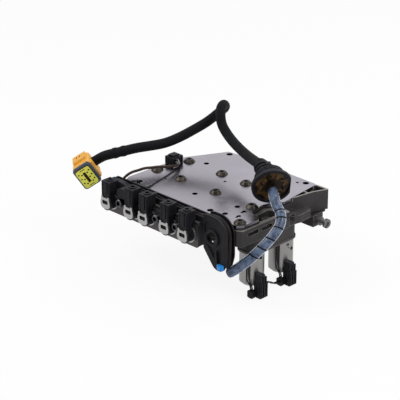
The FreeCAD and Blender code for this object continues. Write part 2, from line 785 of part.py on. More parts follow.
def harness_bracket():
    back = bracket_face + bracket_deep
    left = bracket_left
    web_back = bracket_face + bracket_recess + bracket_web
    web = bracket_profile(bracket_rise)
    web.translate(V(0, bracket_face + bracket_recess, 0))
    web = web.extrude(V(0, bracket_web, 0))
    floor = bracket_strip(bracket_rise, bracket_rise + bracket_wall, bracket_face, back)
    front = bracket_strip(0, bracket_rise + 0.2, bracket_face, bracket_face + bracket_wall)
    rear = bracket_strip(0, bracket_rise + 0.2, back - bracket_wall, back)
    keep = box(left, bracket_right + 5, bracket_face - 1, back + 1, -60, bracket_top + 5)
    inside = box(left - 20, bracket_right - 14, web_back, back + 1, -60, bracket_top - 8)
    body = join([web, floor, front, rear]).common(keep).cut(inside)
    body = body.cut(box(left - 1, bracket_right - 12, bracket_face - 1, back + 1, -60, -38).cut(
        box(left - 1, bracket_right, bracket_face - 2, web_back, -60, -30)))
    rib = side_slab([(61.5, -44.0), (67.0, -44.0), (65.0, -24.0)], bracket_face - 1.2, web_back - 1.0, 0.6)
    arm_x, arm_z = bracket_arm_at
    arm = box(arm_x, arm_x + bracket_arm_wide, web_back - 0.5, plate_front - shoulder_proud,
              arm_z, arm_z + bracket_arm_high)
    peg = rod(bracket_peg / 2, peg_start(), peg_start() + V(0, bracket_peg_long, 0))
    hole_x, hole_z = bracket_hole_at
    hole = rod(bracket_hole / 2, V(hole_x, bracket_face - 3, hole_z), V(hole_x, back + 3, hole_z))
    boss = rod(bracket_hole / 2 + 2.2, V(hole_x, bracket_face - 0.6, hole_z), V(hole_x, web_back, hole_z))
    return cut(join([body, boss, rib, arm, peg]), [hole])


def blue_clip():
    y = bracket_face
    body = box(68.5, 75.5, y - 3.2, y, -46.5, -41.0)
    nose = box(70.0, 74.0, y - 4.6, y - 3.2, -45.5, -42.0)
    return join([body, nose])


# Pressure solenoids

def can_places():
    return [(can_x, can_front_y), (can_x, can_front_y + can_pitch)]


def clamp_screws_at():
    middle = can_front_y + can_pitch / 2
    return [(can_x - 6.0, middle), (can_x + 6.0, middle)]


def clamp_plate():
    half = can_size / 2 + clamp_edge
    outline = [(can_x - half, can_front_y - half), (can_x + half, can_front_y - half),
               (can_x + half, can_front_y + can_pitch + half), (can_x - half, can_front_y + can_pitch + half)]
    plate = slab(outline, can_top, tower_bottom, half)
    tools = [upright(stem_size / 2 + 0.3, p, can_top - 1, tower_bottom + 1) for p in can_places()]
    tools += [upright(2.3, p, can_top - 1, tower_bottom + 1) for p in clamp_screws_at()]
    return cut(plate, tools)


def clamp_screws():
    return Part.makeCompound([small_screw(V(x, y, can_top), V(0, 0, 1), 7.6, 2.6, 4.0, 9.6, 3.0)
                              for x, y in clamp_screws_at()])


def pressure_solenoid(place):
    x, y = place
    radius = can_size / 2
    stem = stem_length + clamp_thick
    profile = [(0, radius - 3.4), (3.0, radius - 2.4), (3.0, radius), (can_height - 1.0, radius),
               (can_height, radius - 1.0), (can_height, stem_size / 2),
               (can_height + stem - 1, stem_size / 2), (can_height + stem, stem_size / 2 - 1)]
    can = turned(profile, V(x, y, can_bottom), V(0, 0, 1))
    turn = math.radians(27.0)
    face = V(math.sin(turn), -math.cos(turn), 0)
    place_slot = local_frame(V(x, y, can_bottom) + face * (radius - can_slot_deep), V(0, 0, 1), face)
    slot = Part.makeBox(can_slot_deep + 2, can_slot, can_height - 4, V(0, -can_slot / 2, -1))
    hole_way = V(math.sin(math.radians(75)), -math.cos(math.radians(75)), 0)
    centre = V(x, y, can_top - 5.0)
    hole = rod(1.7, centre + hole_way * (radius - 2), centre + hole_way * (radius + 2))
    return cut(can, [put(slot, place_slot), hole])


def pressure_connector(place, drop):
    """Ribbed two-way plug that hangs beside the can on its own leads."""
    x, y = place
    left = x + can_size / 2 + 0.4
    right = left + pressure_plug_thick
    front = y - 10.8
    back = front + pressure_plug_wide
    low = can_bottom - 8.5 - drop
    high = low + pressure_plug_height
    step = low + pressure_plug_height * 0.6
    body = box(left, right, front, back, low, step)
    section = [(front + 0.8, step - 0.5), (back - 0.8, step - 0.5), (back - 2.6, high), (front + 1.8, high)]
    face = Part.Face(Part.makePolygon([V(left, a, b) for a, b in section + [section[0]]]))
    upper = face.extrude(V(pressure_plug_thick - 1.6, 0, 0))
    ribs = []
    for i in range(3):
        y = front + 1.0 + i * 3.7
        ribs.append(box(right - 0.1, right + 0.9, y, y + 1.6, low + 1.6, step - 1.0))
        ribs.append(box(right - 1.7, right - 0.7, y + 0.6, y + 1.8, step - 0.5, high - 2.5))
    for i in range(2):
        x_rib = left + 2.6 + i * 3.4
        ribs.append(box(x_rib, x_rib + 1.5, front - 0.8, front + 0.1, low + lead_entry + 1.5, step - 1.0))
    entry = box(left - 4.0, left + 2.6, front - 5.6, front + 1.0, low + 0.6, low + lead_entry)
    collar = box(left - 3.2, left + 1.8, front - 4.8, front - 0.2, low - 0.6, low + 0.8)
    return join([body, upper, entry, collar] + ribs)


# Rear connector on the plate

def rear_connector():
    x0, y0 = rear_connector_at
    x1 = x0 + rear_connector_wide
    y1 = y0 + rear_connector_deep
    top = rear_connector_high
    body = box(x0, x1, y0, y1, 0, top)
    ribs = [box(x0 - 0.7, x1 + 0.7, y0 + 1.0 + i * 3.8, y0 + 2.8 + i * 3.8, 1.2, top - 1.0) for i in range(4)]
    for i in range(4):
        x = x0 + 0.8 + i * 3.4
        ribs.append(box(x, x + 1.6, y0 - 0.8, y0 + 0.2, 1.2, top - 1.0))
    step = box(x0 + 2.0, x0 + 9.5, y0 + 3.0, y1 - 3.0, top, top + 1.8)
    mouth = box(x1 - 1.0, x1 + 1.8, y0 + 2.4, y0 + 9.6, 2.0, 7.4)
    return join([body, step, mouth] + ribs)


# Pass-through connector

def pass_axis():
    turn = math.radians(pass_turn)
    tilt = math.radians(pass_tilt)
    flat = V(math.sin(turn), -math.cos(turn), 0)
    return flat * math.cos(tilt) - V(0, 0, 1) * math.sin(tilt)


def pass_frame(back):
    """Local frame on the connector's axis, back mm behind its front face."""
    axis = pass_axis()
    side = V(0, 0, 1).cross(axis).normalize()
    return local_frame(pass_face - axis * back, axis, side)


def pass_housing():
    radius = pass_flange / 2
    collar_back = pass_flange_thick + pass_collar_length
    collar = pass_collar / 2
    profile = [(-collar_back, collar + 0.7), (-collar_back + 1.6, collar + 0.7), (-collar_back + 1.6, collar),
               (-14.0, collar), (-14.0, collar + 0.7), (-12.8, collar + 0.7), (-12.8, collar),
               (-11.0, collar), (-11.0, collar - 1.8), (-7.6, collar - 1.8),
               (-7.6, collar), (-pass_flange_thick, collar),
               (-pass_flange_thick, radius), (-0.8, radius), (0, radius - 0.8)]
    body = turned(profile, V(0, 0, 0), V(0, 0, 1))
    deep = collar - 2.8
    mouth = radius - pass_face_rim
    bowl = turned([(-pass_bowl_deep, deep), (-pass_bowl_shallow, deep), (-pass_bowl_shallow, mouth), (1, mouth)],
                  V(0, 0, 0), V(0, 0, 1))
    flat = Part.makeBox(20, 60, 8, V(pass_flat, -30, -6))
    return put(cut(body, [bowl, flat]), pass_frame(0))


def pass_potting():
    """Resin bed inside the flange with the ends of the pins standing in it."""
    radius = pass_flange / 2 - pass_face_rim
    deep = pass_collar / 2 - 2.8
    bed = turned([(-pass_bowl_deep, deep), (-pass_bowl_shallow, deep), (-pass_bowl_shallow, radius),
                  (-2.2, radius)], V(0, 0, 0), V(0, 0, 1))
    flat = Part.makeBox(20, 60, 8, V(pass_flat - 1.5, -30, -7))
    bed = bed.cut(flat)
    pins = []
    for i in range(12):
        turn = math.radians(30 * i + 10)
        x = 12.2 * math.cos(turn)
        y = 12.2 * math.sin(turn)
        pins.append(rod(1.1, V(x, y, -2.4), V(x, y, 0.6)))
    return put(join([bed] + pins), pass_frame(0))


def pass_seal():
    outer = rod(pass_collar / 2 - 0.1, V(0, 0, -10.6), V(0, 0, -8.0))
    return put(outer.cut(rod(pass_collar / 2 - 1.8, V(0, 0, -12), V(0, 0, -6))), pass_frame(0))


def pass_backshell():
    """Slanted boot between the collar and the conduit, with its knob on top."""
    start = -(pass_flange_thick + pass_collar_length)
    radius = pass_shell / 2
    x, y, z = boot_end_at
    base = turned([(start - 2.5, radius), (start - 2.0, radius + 0.8), (start, radius + 0.8)],
                  V(0, 0, 0), V(0, 0, 1))
    lead = pass_frame(0).inverse().multVec(V(*conduit_middle[0])) - V(x, y, z)
    near = Part.Wire(Part.makeCircle(radius, V(0, 0, start - 2.0), V(0, 0, 1)))
    far = Part.Wire(Part.makeCircle(boot_end / 2, V(x, y, z), lead * -1))
    slope = Part.makeLoft([near, far], True, True)
    bands = []
    for share in (0.35, 0.7):
        middle = V(x * share, y * share, start - 2.0 + (z - start + 2.0) * share)
        size = pass_shell + (boot_end - pass_shell) * share
        bands.append(rod(size / 2 + 0.7, middle - V(0, 0, 0.7), middle + V(0, 0, 0.7)))
    knob = Part.makeBox(5.0, 6.0, 4.4, V(-4.0, radius - 1.5, start - 5.4))
    return put(join([base, slope, knob] + bands), pass_frame(0))


# Vehicle connector

def plug_frame():
    return local_frame(plug_face_centre, plug_forward, plug_across)


def plug_block(width, height, z0, z1, radius):
    half_w = width / 2
    half_h = height / 2
    corners = [V(-half_w, -half_h, z0), V(half_w, -half_h, z0), V(half_w, half_h, z0), V(-half_w, half_h, z0)]
    return rounded_face(corners, radius).extrude(V(0, 0, z1 - z0))


def plug_housing():
    wide = plug_short
    tall = plug_long
    rear = -(plug_face_deep + plug_seal_deep)
    body = plug_block(wide + 0.6, tall + 0.6, rear - plug_housing_deep, rear, 3.0)
    side = Part.makeBox(2.0, tall - 6, plug_housing_deep - 1,
                        V(wide / 2, -(tall - 6) / 2, rear - plug_housing_deep + 0.5))
    return put(join([body, side]), plug_frame())


def plug_seal():
    rear = -(plug_face_deep + plug_seal_deep)
    band = plug_block(plug_short + 1.0, plug_long + 1.0, rear, -plug_face_deep, 3.6)
    lip = plug_block(plug_short + 0.2, plug_long + 0.2, -plug_face_deep, -plug_face_deep + 1.4, 3.4)
    core = plug_block(plug_short - 2 * plug_rim + 0.2, plug_long - 2 * plug_rim + 0.2, -plug_face_deep,
                      -plug_face_deep + 3, 2.6)
    return put(join([band, lip]).cut(core), plug_frame())


def plug_insert():
    """Terminal block: two rows of three pin holes each side of the key slot."""
    block = plug_block(plug_short - 2 * plug_rim, plug_long - 2 * plug_rim, -plug_face_deep, 0, 2.6)
    tools = [Part.makeBox(3.4, 13.0, 2.6, V(-1.7, -6.5, -2.4))]
    for column in pin_columns:
        for row in (-1, 0, 1):
            shift = 0.9 if abs(column) > 5 else -0.9
            foot = V(column, row * pin_pitch + shift, -2.4)
            tools.append(rod(pin_hole / 2, foot, foot + V(0, 0, 3.4)))
    for y in (-plug_long / 2 + plug_rim + 1.1, plug_long / 2 - plug_rim - 2.0):
        tools.append(Part.makeBox(6.0, 0.9, 1.6, V(-3.0, y, -1.0)))
    return put(cut(block, tools), plug_frame())


def plug_cover():
    """Rear cover with the latch block on top; it turns the conduit out to the side."""
    rear = -(plug_face_deep + plug_seal_deep + plug_housing_deep)
    back = rear - plug_cover_deep
    cover = plug_block(plug_short, plug_long, back, rear, 3.0)
    width = plug_short - 5
    latch = Part.makeBox(width, 3.4, plug_cover_deep - 1, V(-width / 2, plug_long / 2 - 0.6, back + 0.5))
    slots = [Part.makeBox(1.8, 4.0, 4.0, V(x, plug_long / 2 + 1.2, back + 4.0)) for x in (-3.6, 0.4)]
    return put(cut(join([cover, latch]), slots), plug_frame())


def plug_outlet(out):
    """A point out mm along the line by which the conduit leaves the cover."""
    rear = -(plug_face_deep + plug_seal_deep + plug_housing_deep)
    return plug_frame().multVec(V(plug_short / 2 + out, plug_outlet_up, rear - plug_cover_deep / 2))


# Cord routes, chosen by hand
row_route = [(-79, -135.6, -1.25), (-52, -135.2, -1.2), (-20, -135.9, -1.25), (10, -135.3, -1.2),
             (33, -136.0, -1.2), (45.5, -137.2, 2.6), (54, -137.75, 5.5), (64.9, -137.75, 5.7),
             (73.0, -137.75, 1.3), (77.4, -137.7, -6.8), (77.3, -137.75, -20), (77.4, -137.7, -34),
             (76.0, -137.75, -46)]
harness_route = [(76.2, -136.4, -51.3), (82.5, -134.5, -46.5), (91.1, -127.0, -37.0), (99.4, -117.0, -25.0),
                 (104.6, -104.5, -12.8), (105.6, -92.5, -2.2), (99.5, -85.8, 6.2), (90.5, -82.3, 9.8),
                 (81.0, -76.2, 14.1), (72.9, -69.9, 18.6)]
sensor_route = [(-73.4, -61.8, 4.6), (-69.2, -63.6, 4.4), (-66.2, -69.6, 5.0), (-65.4, -80.0, 6.6),
                (-68.5, -94.0, 9.6), (-73.5, -108.5, 11.2), (-78.5, -119.5, 9.8), (-82.5, -128.0, 6.8),
                (-84.0, -134.0, 2.6), (-84.0, -134.0, -3.3)]
conduit_middle = [(27.0, -47.6, 33.9), (11.0, -40.8, 35.8), (-4.6, -35.7, 39.1), (-19.6, -30.9, 43.5),
                  (-33.4, -26.0, 48.5), (-44.2, -22.0, 55.0), (-51.4, -17.3, 61.5), (-56.1, -9.3, 62.1),
                  (-60.1, -2.3, 55.0), (-67.4, -4.8, 47.8), (-73.6, -15.3, 38.5), (-79.2, -29.6, 32.0),
                  (-84.2, -47.7, 26.1), (-89.9, -65.1, 22.1), (-96.7, -81.4, 21.8), (-104.0, -95.2, 21.3),
                  (-111.3, -108.6, 19.1), (-118.9, -120.6, 16.9)]


def row_wires():
    return tube("row_wires", row_route, bundle_size)


def spiral_harness():
    return tube("spiral_harness", harness_route, harness_size)


def conduit_route():
    start = pass_frame(0).multVec(V(*boot_end_at))
    return [tuple(start)] + conduit_middle + [tuple(plug_outlet(11.0)), tuple(plug_outlet(0.0))]


def outer_conduit():
    return tube("outer_conduit", conduit_route(), conduit_size)


def sensor_leads():
    return tube("sensor_leads", sensor_route, 2.6)


def pressure_leads(place, drop):
    """Two wires down the can's slot and over to the plug's entry."""
    x, y = place
    turn = math.radians(27.0)
    face = V(math.sin(turn), -math.cos(turn), 0)
    side = V(math.cos(turn), math.sin(turn), 0)
    low = can_bottom - 8.5 - drop
    left = x + can_size / 2 + 0.4
    wires = []
    for s in (-1, 1):
        top = V(x, y, can_top - 6.0) + face * (can_size / 2 + 0.3) + side * (s * 1.1)
        mid = V(x, y, can_bottom + 20) + face * (can_size / 2 + 1.0) + side * (s * 1.3)
        bend = V(x, y, can_bottom + 8) + face * (can_size / 2 + 1.6) + side * (s * 1.2)
        end = V(left - 0.7 + s * lead_pitch / 2, y - 10.8 - 2.6, low + lead_entry)
        before = end + V(0, 0, 5.0)
        wires.append([tuple(top), tuple(mid), tuple(bend), tuple(before), tuple(end)])
    return wires


def pressure_lead_pair(name, place, drop):
    return Part.makeCompound([tube(name, r, lead_size) for r in pressure_leads(place, drop)])


def link_leads():
    """Two wires that join the plugs of the pressure solenoids."""
    x = can_x + can_size / 2 + 0.4
    y0 = can_front_y
    y1 = can_front_y + can_pitch
    wires = []
    for s in (0, 1):
        start = V(x + 2.0 + s * 2.4, y0 + 0.2, can_bottom + 4.0)
        end = V(x - 2.4 + s * 2.4, y1 - 16.4, can_bottom - 5.6)
        a = start + V(0, 6.5, 0)
        b = start + V(-1.0, 14.0, -5.5 + s * 1.5)
        c = end + V(0, -6.0, 0)
        wires.append([tuple(start), tuple(a), tuple(b), tuple(c), tuple(end)])
    return Part.makeCompound([tube("link_leads", r, lead_size) for r in wires])


def save(name, shape):
    shape.exportStep("parts/%s.step" % name)
    solids = shape.Solids
    if not shape.isValid() or any(s.Volume <= 0 for s in solids):
        print("CHECK", name, shape.isValid(), [round(s.Volume, 1) for s in solids])


def main():
    os.makedirs("parts", exist_ok=True)
    save("top_plate", top_plate())
    save("upper_gasket", upper_gasket())
    save("upper_body", upper_body())
    save("separator_plate", separator_plate())
    save("lower_body", lower_body())
    save("cover_bolts", cover_bolts())
    save("retaining_plate", retaining_plate())
    save("retaining_screws", retaining_screws())
    for i, x in enumerate(solenoids_at, 1):
        save("solenoid_valve_%d" % i, solenoid_valve(x))
        save("solenoid_coil_%d" % i, solenoid_coil(x))
        save("row_connector_%d" % i, row_connector(x, cap_drops[i - 1]))
    save("nose_seals", nose_seals())
    save("harness_channel", harness_channel())
    save("harness_bracket", harness_bracket())
    save("blue_clip", blue_clip())
    save("clamp_plate", clamp_plate())
    save("clamp_screws", clamp_screws())
    for i, place in enumerate(can_places(), 1):
        drop = 1.0 * (i - 1)
        save("pressure_solenoid_%d" % i, pressure_solenoid(place))
        save("pressure_connector_%d" % i, pressure_connector(place, drop))
        save("pressure_leads_%d" % i, pressure_lead_pair("pressure_leads_%d" % i, place, drop))
    save("link_leads", link_leads())
    save("rear_connector", rear_connector())
    save("sensor_leads", sensor_leads())
    save("pass_housing", pass_housing())
    save("pass_potting", pass_potting())
    save("pass_seal", pass_seal())
    save("pass_backshell", pass_backshell())
    save("spiral_harness", spiral_harness())
    save("outer_conduit", outer_conduit())
    save("row_wires", row_wires())
    save("plug_housing", plug_housing())
    save("plug_seal", plug_seal())
    save("plug_insert", plug_insert())
    save("plug_cover", plug_cover())
    save("manual_valve", manual_valve())
    for name, y in zip(("pressure_regulator", "shift_valve"), spool_rows):
        save(name + "_spool", regulator_spool(y))
        save(name + "_spring", regulator_spring(y))
        save(name + "_plug", spool_plug(y))
    save("check_balls", check_balls())


main()
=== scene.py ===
import bpy
import json
import math
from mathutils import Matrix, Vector


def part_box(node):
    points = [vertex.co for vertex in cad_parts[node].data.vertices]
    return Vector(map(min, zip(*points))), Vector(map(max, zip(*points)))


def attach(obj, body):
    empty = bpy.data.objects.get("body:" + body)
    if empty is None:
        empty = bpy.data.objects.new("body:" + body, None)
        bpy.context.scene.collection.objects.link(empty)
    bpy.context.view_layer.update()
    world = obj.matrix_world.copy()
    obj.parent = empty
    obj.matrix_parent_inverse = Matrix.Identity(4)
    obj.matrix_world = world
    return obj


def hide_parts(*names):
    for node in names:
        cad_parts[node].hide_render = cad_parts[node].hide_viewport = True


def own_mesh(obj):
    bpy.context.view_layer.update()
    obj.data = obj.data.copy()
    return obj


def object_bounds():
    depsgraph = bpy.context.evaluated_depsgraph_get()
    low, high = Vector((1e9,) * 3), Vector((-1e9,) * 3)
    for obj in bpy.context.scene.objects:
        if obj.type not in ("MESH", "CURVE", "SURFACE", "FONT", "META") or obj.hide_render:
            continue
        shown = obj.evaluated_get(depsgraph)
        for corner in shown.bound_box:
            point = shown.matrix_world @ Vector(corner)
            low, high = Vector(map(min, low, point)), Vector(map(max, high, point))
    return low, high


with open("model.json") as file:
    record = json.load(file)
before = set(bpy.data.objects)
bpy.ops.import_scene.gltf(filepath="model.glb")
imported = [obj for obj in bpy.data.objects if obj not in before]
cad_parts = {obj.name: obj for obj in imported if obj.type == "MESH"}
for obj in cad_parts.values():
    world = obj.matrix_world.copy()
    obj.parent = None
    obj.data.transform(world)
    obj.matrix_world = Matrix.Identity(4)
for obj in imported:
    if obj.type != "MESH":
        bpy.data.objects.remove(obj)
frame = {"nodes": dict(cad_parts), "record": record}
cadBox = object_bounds()
mm = 0.001
body = "valve_block"
fullTurn = 2 * math.pi
print("stage: frame loaded")


# Shader maths on one socket
class Wire:
    def __init__(self, tree, socket=None):
        self.tree = tree
        self.socket = socket

    def plug(self, target, value):
        if isinstance(value, Wire):
            self.tree.links.new(value.socket, target)
        else:
            target.default_value = value

    def node(self, kind, settings=None, inputs=None, out=0):
        made = self.tree.nodes.new(kind)
        for key, value in (settings or {}).items():
            setattr(made, key, value)
        for key, value in (inputs or {}).items():
            self.plug(made.inputs[key], value)
        return Wire(self.tree, made.outputs[out])

    def maths(self, operation, first, second):
        return self.node("ShaderNodeMath", {"operation": operation}, {0: first, 1: second})

    def __add__(self, other):
        return self.maths("ADD", self, other)

    __radd__ = __add__

    def __sub__(self, other):
        return self.maths("SUBTRACT", self, other)

    def __rsub__(self, other):
        return self.maths("SUBTRACT", other, self)

    def __mul__(self, other):
        return self.maths("MULTIPLY", self, other)

    __rmul__ = __mul__

    def __pow__(self, other):
        return self.maths("POWER", self, other)

    def __gt__(self, other):
        return self.maths("GREATER_THAN", self, other)

    def __lt__(self, other):
        return self.maths("LESS_THAN", self, other)

    def clamped(self):
        return self.node("ShaderNodeClamp", None, {0: self})

    def ramped(self, low, high):  # 0 at low, 1 at high, smooth between
        return self.node("ShaderNodeMapRange", {"interpolation_type": "SMOOTHSTEP"},
                         {0: self, 1: low, 2: high})

    def mixed(self, dark, light):  # colours chosen by this 0..1 value
        return self.node("ShaderNodeMix", {"data_type": "RGBA"}, {0: self, 6: dark, 7: light}, 2)


def rgb(red, green, blue):
    return (red, green, blue, 1.0)


def grey(value):
    return rgb(value, value, value)


def newMaterial(name, slot, fixed):  # fixed holds the shader's constant inputs
    material = bpy.data.materials.new(name)
    material.use_nodes = True
    material["slot"] = slot
    tree = material.node_tree
    shader = tree.nodes["Principled BSDF"]
    for key, value in fixed.items():
        shader.inputs[key].default_value = value
    return material, Wire(tree), shader


def place(w):  # where a point is, in metres in the part's frame
    return w.node("ShaderNodeTexCoord", None, None, 3)


def noise(w, scale, detail=4.0, rough=0.55, stretch=None):
    spot = place(w)
    if stretch:
        spot = w.node("ShaderNodeMapping", None, {0: spot, 3: stretch})
    return w.node("ShaderNodeTexNoise", None, {0: spot, 2: scale, 3: detail, 4: rough})


def speckle(w, scale):
    return w.node("ShaderNodeTexVoronoi", None, {0: place(w), 2: scale})


def component(w, vector, axis):  # the X, Y or Z part of a vector
    return w.node("ShaderNodeSeparateXYZ", None, {0: vector}, "XYZ".index(axis))


def outward(w):  # the surface's normal
    return w.node("ShaderNodeNewGeometry", None, None, 1)


def facing(w, axis):  # how far the surface faces along an axis
    return component(w, outward(w), axis)


def position(w, axis):
    return component(w, place(w), axis)


def dot(w, first, second):
    return w.node("ShaderNodeVectorMath", {"operation": "DOT_PRODUCT"}, {0: first, 1: second}, 1)


def gapTo(w, spot):  # vector from spot to the shaded point
    return w.node("ShaderNodeVectorMath", {"operation": "SUBTRACT"}, {0: place(w), 1: spot})


def away(w, spot, axis):  # how far a point lies past spot along axis, in metres
    return dot(w, gapTo(w, spot), axis)


def edgeMask(w, radius):  # 1 on corners sharper than the radius
    look = {"samples": 6, "from": 0.02, "full": 0.16}
    soft = w.node("ShaderNodeBevel", {"samples": look["samples"]}, {0: radius})
    return (1 - dot(w, outward(w), soft)).ramped(look["from"], look["full"])


def emboss(w, shader, height, distance, strength):
    bump = w.node("ShaderNodeBump", None, {"Height": height, "Distance": distance, "Strength": strength})
    w.plug(shader.inputs["Normal"], bump)


# Finishes
def sheetSteel():  # cover plate, with painted shade: dark in its sunk lines and on its rim
    look = {"base": rgb(0.42, 0.395, 0.45), "dull": rgb(0.34, 0.318, 0.365), "worn": grey(0.75),
            "groove": rgb(0.07, 0.066, 0.078), "rough": 0.19, "grain": 900.0, "stretch": (1.0, 0.06, 1.0),
            "edge": 0.0005, "sunkBelow": -0.0004, "levelAbove": 0.9, "rimBelow": 0.5, "bump": 0.00006}
    material, w, shader = newMaterial("lilac cover steel", "plate_steel", {"Metallic": 1.0})
    cloud = noise(w, 22.0, 5.0).ramped(0.35, 0.7)
    fine = noise(w, look["grain"], 3.0, 0.6, look["stretch"])
    edge = edgeMask(w, look["edge"])
    # painted shade: upward faces below the top (the groove floors) and, at 0.8, the side faces of the rim
    # take the dark groove colour
    sunk = (position(w, "Z") < look["sunkBelow"]) * (facing(w, "Z") > look["levelAbove"])
    rimShade = facing(w, "Z") < look["rimBelow"]
    colour = (cloud * 0.6 + fine * 0.4).mixed(look["dull"], look["base"])
    worn = (edge * 0.4).mixed(colour, look["worn"])
    shown = (0.8 * rimShade).mixed(worn, look["groove"])
    w.plug(shader.inputs["Base Color"], sunk.mixed(shown, look["groove"]))
    w.plug(shader.inputs["Roughness"], look["rough"] + 0.07 * cloud + 0.04 * fine + 0.3 * sunk)
    emboss(w, shader, fine * 0.4 + noise(w, 45.0) * 0.5, look["bump"], 0.25)
    return material


def castAlloy():  # dark casting, bright where its top was machined
    look = {"dark": rgb(0.024, 0.0225, 0.023), "light": rgb(0.068, 0.063, 0.065),
            "cut": rgb(0.36, 0.335, 0.32), "edge": 0.0009, "cutAbove": -0.0072, "levelAbove": 0.95,
            "rough": 0.58, "bump": 0.00022}
    fixed = {"Metallic": 0.5, "Specular IOR Level": 0.35}
    material, w, shader = newMaterial("dark cast alloy", "casting", fixed)
    grain = noise(w, 700.0, 6.0, 0.65)
    cloud = noise(w, 45.0)
    edge = edgeMask(w, look["edge"])
    cut = (facing(w, "Z") > look["levelAbove"]) * (position(w, "Z") > look["cutAbove"])
    colour = (0.6 * cloud + 0.4 * grain).mixed(look["dark"], look["light"])
    worn = (edge * 0.85 * cloud.ramped(0.3, 0.55) + cut * 0.8).clamped()
    w.plug(shader.inputs["Base Color"], worn.mixed(colour, look["cut"]))
    w.plug(shader.inputs["Roughness"], look["rough"] - 0.2 * cut + 0.12 * grain)
    emboss(w, shader, grain * 0.6 + speckle(w, 900.0) * 0.4, look["bump"], 0.6)
    return material


def drawnSteel():  # solenoid pole pieces and cans, with painted shade: black in the slots of the pole rings
    look = {"base": grey(0.50), "dull": rgb(0.30, 0.29, 0.285), "worn": grey(0.8), "slot": grey(0.004),
            "deep": rgb(0.17, 0.165, 0.16), "slotBack": -0.1545, "slotFront": -0.1568, "cansBelow": -0.0375,
            "frontBelow": -0.7, "edge": 0.0005, "rough": 0.28, "bump": 0.0001}
    material, w, shader = newMaterial("drawn steel", "solenoid_steel", {"Specular IOR Level": 0.08})
    cloud = noise(w, 60.0, 5.0)
    fine = noise(w, 500.0, 4.0, 0.6)
    edge = edgeMask(w, look["edge"])
    depth = position(w, "Y")
    front = facing(w, "Y") < look["frontBelow"]
    # painted shade: front faces between slotFront and slotBack turn near black and not metallic, for the dark
    # inside of the slots
    slot = (depth > look["slotFront"]) * (depth < look["slotBack"]) * front
    colour = (0.6 * cloud + 0.4 * fine).mixed(look["dull"], look["base"])
    can = position(w, "Z") < look["cansBelow"]
    worn = (0.5 * edge * (1 - can)).mixed((can * 0.55).mixed(colour, look["deep"]), look["worn"])
    w.plug(shader.inputs["Base Color"], slot.mixed(worn, look["slot"]))
    w.plug(shader.inputs["Metallic"], 1 - slot)
    w.plug(shader.inputs["Roughness"], look["rough"] + 0.14 * cloud + 0.08 * fine)
    emboss(w, shader, fine, look["bump"], 0.3)
    return material


def boltSteel():  # olive heads with painted shade, near black, in their sockets, and grey posts in the solenoid row
    look = {"base": rgb(0.070, 0.060, 0.052), "dull": rgb(0.013, 0.010, 0.009), "worn": rgb(0.30, 0.27, 0.24),
            "rowBase": rgb(0.105, 0.104, 0.112), "rowDull": rgb(0.028, 0.028, 0.031), "socket": grey(0.003),
            "rowFront": -0.135, "socketLow": 0.0006, "socketHigh": 0.0015, "levelAbove": 0.9,
            "edge": 0.0004, "rough": 0.22, "bump": 0.00015}
    material, w, shader = newMaterial("olive phosphate", "bolt_steel", {"Specular IOR Level": 0.1})
    cloud = noise(w, 220.0, 5.0).ramped(0.3, 0.7)
    fine = noise(w, 900.0, 4.0, 0.6)
    edge = edgeMask(w, look["edge"])
    level = position(w, "Z")
    upward = facing(w, "Z") > look["levelAbove"]
    # painted shade: upward faces between socketLow and socketHigh, the socket floors, turn near black and not
    # metallic
    socket = (level > look["socketLow"]) * (level < look["socketHigh"]) * upward
    grain = 0.65 * cloud + 0.35 * fine
    row = position(w, "Y") < look["rowFront"]
    colour = row.mixed(grain.mixed(look["dull"], look["base"]), grain.mixed(look["rowDull"], look["rowBase"]))
    worn = (0.16 * edge).mixed(colour, look["worn"])
    w.plug(shader.inputs["Base Color"], socket.mixed(worn, look["socket"]))
    w.plug(shader.inputs["Metallic"], 1 - socket)
    w.plug(shader.inputs["Roughness"], look["rough"] + 0.25 * cloud)
    emboss(w, shader, cloud * 0.5 + fine, look["bump"], 0.4)
    return material


def plainSteel(name, slot, base, dull, rough, worn=0.7):
    look = {"edge": 0.0005, "bump": 0.0001}
    material, w, shader = newMaterial(name, slot, {"Metallic": 1.0})
    cloud = noise(w, 60.0, 5.0)
    fine = noise(w, 500.0, 4.0, 0.6)
    edge = edgeMask(w, look["edge"])
    colour = (0.5 * cloud + 0.5 * fine).mixed(dull, base)
    w.plug(shader.inputs["Base Color"], (0.45 * edge).mixed(colour, grey(worn)))
    w.plug(shader.inputs["Roughness"], rough + 0.14 * cloud + 0.08 * fine)
    emboss(w, shader, fine, look["bump"], 0.3)
    return material


def moulded(name, slot, base, worn, rough, coat=0.0, gloss=0.5, deep=None, litTops=None):
    look = {"edge": 0.0004, "bump": 0.00008}
    fixed = {"Coat Weight": coat, "Coat Roughness": 0.2, "Specular IOR Level": gloss}
    material, w, shader = newMaterial(name, slot, fixed)
    cloud = noise(w, 80.0)
    fine = noise(w, 1400.0, 3.0)
    edge = edgeMask(w, look["edge"])
    colour = (0.25 * cloud + 0.5 * edge).clamped().mixed(base, worn)
    if litTops:  # painted light: greyer where the surface looks up, as if lit from above
        colour = (facing(w, "Z").ramped(0.5, 0.95) * cloud.ramped(0.3, 0.6)).mixed(colour, litTops)
    if deep:  # painted shade: a darker floor in the recesses of one face
        past = away(w, deep["spot"], deep["axis"])
        colour = ((past < -deep["depth"]) * (past > -deep["back"])).mixed(colour, deep["colour"])
    w.plug(shader.inputs["Base Color"], colour)
    w.plug(shader.inputs["Roughness"], rough + 0.10 * cloud + 0.06 * fine)
    emboss(w, shader, fine, look["bump"], 0.35)
    return material


